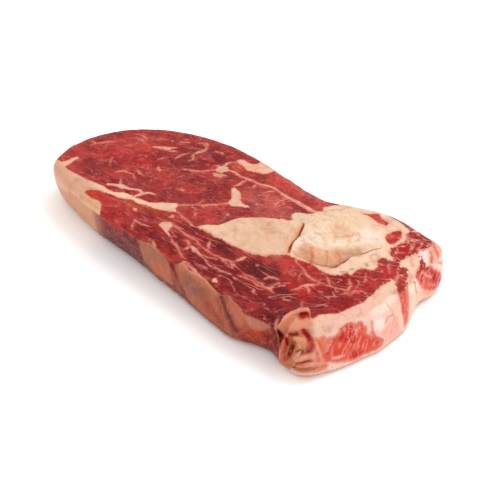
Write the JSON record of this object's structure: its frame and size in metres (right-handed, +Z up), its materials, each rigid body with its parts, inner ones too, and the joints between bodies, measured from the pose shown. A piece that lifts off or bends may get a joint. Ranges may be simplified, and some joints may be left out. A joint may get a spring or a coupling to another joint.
{
  "type": "raw ribeye steak",
  "caption": "Thick boneless slice of raw marbled beef with a fat kernel, a fat cap along one side and a folded knob of fat at one corner, lying flat.",
  "frame": {"origin": "middle of the slice's outline, on the surface that it lies on", "axes": "+X along the slice from the round end of the eye to the fatty tail end, +Y to the trimmed long side away from the fat cap, +Z up out of the upper cut face"},
  "size_m": [0.2373, 0.1223, 0.0299],
  "materials": {
    "raw_beef": "moist raw meat: deep red lean with cream to pink fat, under a thin wet film"
  },
  "bodies": {
    "root": {"ribeye_steak": "raw_beef"}
  },
  "joints": []
}
